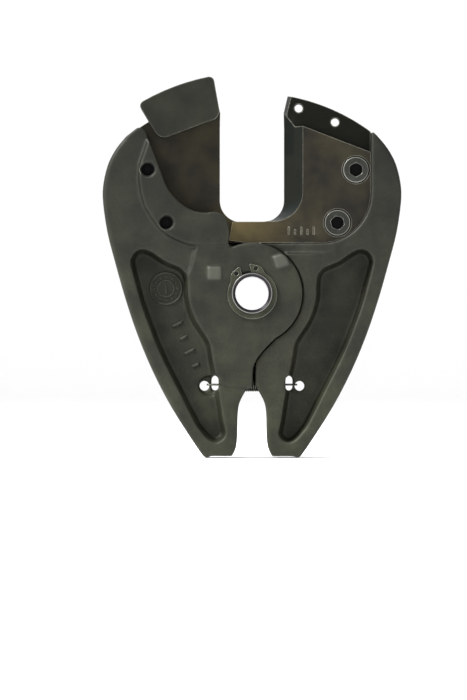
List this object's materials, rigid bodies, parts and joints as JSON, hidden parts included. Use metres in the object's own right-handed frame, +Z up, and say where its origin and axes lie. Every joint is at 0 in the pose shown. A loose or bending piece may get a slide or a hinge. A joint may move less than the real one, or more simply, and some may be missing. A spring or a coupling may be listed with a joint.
{
  "type": "cable cutting jaw set",
  "caption": "Scissor jaw set for cutting cable: mirrored forged levers on a hollow pivot carry screwed-in blades, a tip guide and a return spring.",
  "frame": {"origin": "centre of the hollow pivot sleeve, on the plane where the two blades shear", "axes": "+X to the right and +Z up towards the blade tips as seen from the front, +Y back along the pivot axis"},
  "size_m": [0.1436, 0.036, 0.1832],
  "materials": {
    "forging": "dark phosphated forging, matt, edges worn lighter",
    "blade": "ground and heat tinted, dark bevel",
    "screw": "black oxide",
    "guide": "dark phosphated steel",
    "sleeve": "hardened, dark, bright turned rims",
    "ring": "phosphated spring steel",
    "spring": "oiled spring wire"
  },
  "bodies": {
    "pivot": {"pivot_pin": "sleeve", "front_retaining_ring": "ring", "back_retaining_ring": "ring"},
    "left_jaw": {"left_lever": "forging", "left_blade": "blade", "left_blade_screw_upper": "screw", "left_blade_screw_lower": "screw", "tip_guide": "guide", "guide_screw_inner": "screw", "guide_screw_outer": "screw", "return_spring": "spring"},
    "right_jaw": {"right_lever": "forging", "right_blade": "blade", "right_blade_screw_upper": "screw", "right_blade_screw_lower": "screw"}
  },
  "joints": [
    {"name": "left_jaw_pivot", "type": "hinge", "parent": "pivot", "child": "left_jaw", "pos_m": [0, 0, 0], "axis": [0, 1, 0], "range_deg": [0, 21], "stiffness_Nm_per_rad": 2, "springref_deg": -14.32, "deforming": ["return_spring"]},
    {"name": "right_jaw_pivot", "type": "hinge", "parent": "left_jaw", "child": "right_jaw", "pos_m": [0, 0, 0], "axis": [0, -1, 0], "range_deg": [0, 42], "deforming": ["return_spring"]}
  ],
  "couplings": [
    {"joint": "right_jaw_pivot", "follows": "left_jaw_pivot", "ratio": 2}
  ]
}
